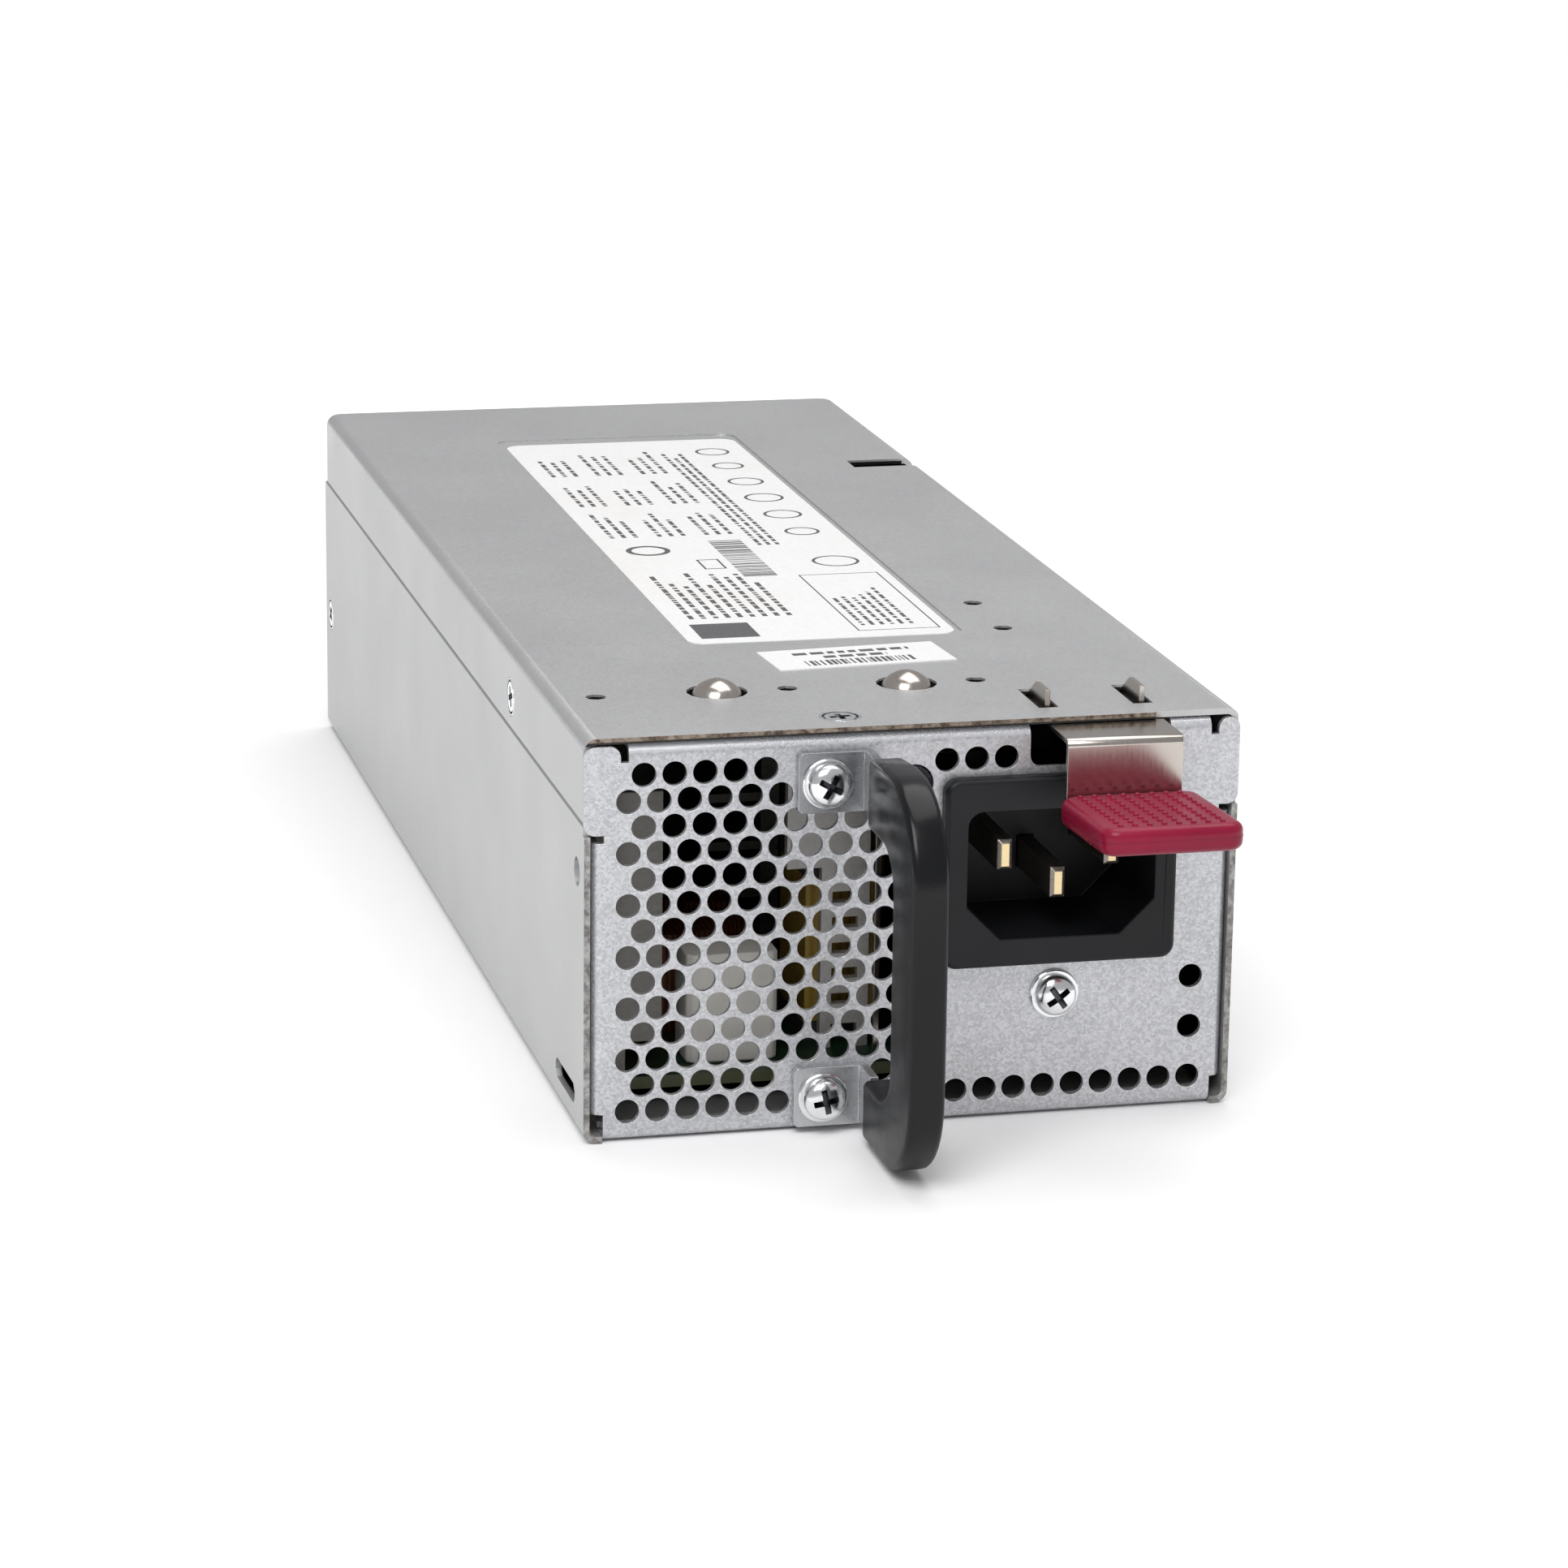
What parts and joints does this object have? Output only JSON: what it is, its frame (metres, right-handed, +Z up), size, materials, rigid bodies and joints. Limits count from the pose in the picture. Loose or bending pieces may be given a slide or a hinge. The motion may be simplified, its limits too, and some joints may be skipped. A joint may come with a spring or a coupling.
{
  "type": "hot swap server power supply",
  "caption": "Slide-in server power supply with a perforated front, mains inlet, carrying handle, sprung latch and rear board contacts.",
  "frame": {"origin": "middle of the underside of the case, halfway along its length", "axes": "+X to the right seen from the front, +Y from the front panel to the rear contacts, +Z up"},
  "size_m": [0.0844, 0.2505, 0.0543],
  "materials": {
    "galvanised_sheet": "galvanised, faint spangle",
    "zinc_front": "light zinc plate with a fine speckle",
    "zinc_fasteners": "bright zinc plate",
    "spring_steel": "brushed stainless",
    "label_paper": "matt white label stock",
    "inlet_plastic": "black, fine moulded grain",
    "pin_metal": "gold coloured contact metal",
    "handle_plastic": "charcoal, fine satin grain",
    "grip_plastic": "burgundy, satin",
    "lens": "dark grey translucent lens",
    "board_laminate": "green solder mask",
    "insulating_film": "dark insulating film",
    "capacitor_box": "light beige grey",
    "heat_sink_metal": "bare rolled aluminium",
    "ferrite": "dark grey ferrite",
    "coil_tape": "yellow brown tape",
    "copper_wire": "enamelled copper wire",
    "capacitor_sleeve": "dark plastic sleeve over aluminium",
    "transistor_case": "black moulded package",
    "fan_plastic": "black moulded fan plastic"
  },
  "bodies": {
    "case": {"chassis_tray": "galvanised_sheet", "top_cover": "galvanised_sheet", "rear_panel": "galvanised_sheet", "front_panel": "zinc_front", "handle_bracket_lower": "zinc_front", "handle_bracket_upper": "zinc_front", "cover_screws": "zinc_fasteners", "rear_screws": "zinc_fasteners", "inlet_ground_screw": "zinc_fasteners", "ground_washer": "zinc_fasteners", "handle_screws": "zinc_fasteners", "handle_washers": "zinc_fasteners", "board_screws": "zinc_fasteners", "fan_screws": "zinc_fasteners", "board_standoffs": "zinc_fasteners", "latch_anchor": "spring_steel", "contact_strip": "spring_steel", "led_leads": "spring_steel", "rating_label": "label_paper", "asset_label": "label_paper", "ac_inlet": "inlet_plastic", "inlet_pins": "pin_metal", "edge_contacts": "pin_metal", "handle": "handle_plastic", "status_led": "lens", "main_board": "board_laminate", "control_board": "board_laminate", "insulator_sheet": "insulating_film", "filter_capacitor": "capacitor_box", "filter_heat_sink": "heat_sink_metal", "slotted_heat_sink": "heat_sink_metal", "primary_heat_sink": "heat_sink_metal", "secondary_heat_sink": "heat_sink_metal", "filter_choke_core": "ferrite", "line_choke_core": "ferrite", "boost_choke_core": "ferrite", "output_choke_core": "ferrite", "transformer_core": "ferrite", "filter_choke_winding": "coil_tape", "transformer_winding": "coil_tape", "line_choke_winding": "copper_wire", "boost_choke_winding": "copper_wire", "output_choke_winding": "copper_wire", "bulk_capacitors": "capacitor_sleeve", "output_capacitors": "capacitor_sleeve", "power_transistors": "transistor_case", "fan_frame": "fan_plastic"},
    "latch": {"latch_arm": "spring_steel", "latch_grip": "grip_plastic"},
    "contact_left": {"contact_spring_left": "spring_steel"},
    "contact_right": {"contact_spring_right": "spring_steel"},
    "fan": {"fan_rotor": "fan_plastic"}
  },
  "joints": [
    {"name": "latch_flex", "type": "hinge", "parent": "case", "child": "latch", "pos_m": [0.0246, -0.06355, 0.05095], "axis": [1, 0, 0], "range_deg": [0, 4.5], "stiffness_Nm_per_rad": 3},
    {"name": "contact_left_flex", "type": "hinge", "parent": "case", "child": "contact_left", "pos_m": [-0.0334, -0.08565, 0.0511], "axis": [0, 1, 0], "range_deg": [0, 8], "stiffness_Nm_per_rad": 0.05},
    {"name": "contact_right_flex", "type": "hinge", "parent": "case", "child": "contact_right", "pos_m": [-0.0085, -0.08565, 0.0511], "axis": [0, 1, 0], "range_deg": [0, 8], "stiffness_Nm_per_rad": 0.05},
    {"name": "fan_spin", "type": "hinge", "parent": "case", "child": "fan", "pos_m": [-0.0194, 0.09075, 0.0276], "axis": [0, 1, 0], "continuous": true}
  ]
}
